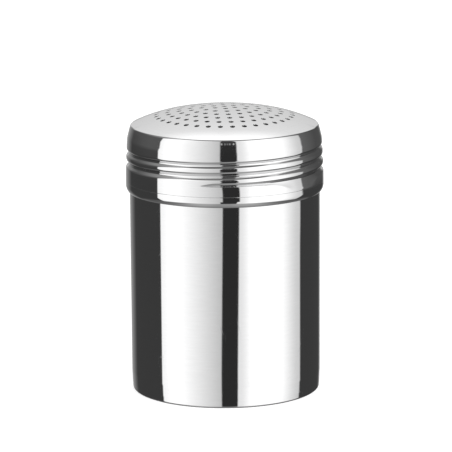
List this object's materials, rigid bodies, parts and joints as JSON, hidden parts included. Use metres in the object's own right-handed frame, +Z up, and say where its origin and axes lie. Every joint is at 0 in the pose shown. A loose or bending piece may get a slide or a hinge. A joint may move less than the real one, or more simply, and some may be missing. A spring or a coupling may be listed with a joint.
{
  "type": "spice shaker",
  "caption": "Stainless steel screw-top shaker: a deep-drawn cup with a domed, perforated lid on a rolled thread, for spices or sugar.",
  "frame": {"origin": "centre of the cup's underside, on the surface it stands on", "axes": "+Z up along the axis of cup and lid; -Y is the front, where the lid's lowest groove runs out"},
  "size_m": [0.0728, 0.0728, 0.1054],
  "materials": {
    "cup_steel": "mirror-polished stainless steel outside, satin inside",
    "lid_steel": "mirror-polished stainless steel outside, satin inside"
  },
  "bodies": {
    "cup": {"cup": "cup_steel"},
    "lid_rim": {"lid_rolled_rim": "lid_steel"},
    "lid": {"lid": "lid_steel"}
  },
  "joints": [
    {"name": "lid_lift", "type": "slide", "parent": "cup", "child": "lid_rim", "axis": [0, 0, 1], "range_m": [0, 0.0231]},
    {"name": "lid_turn", "type": "hinge", "parent": "lid_rim", "child": "lid", "pos_m": [0, 0, 0.0784], "axis": [0, 0, 1], "range_deg": [0, 1980]}
  ],
  "couplings": [
    {"joint": "lid_lift", "follows": "lid_turn", "m_per_rad": 0.00066845}
  ]
}
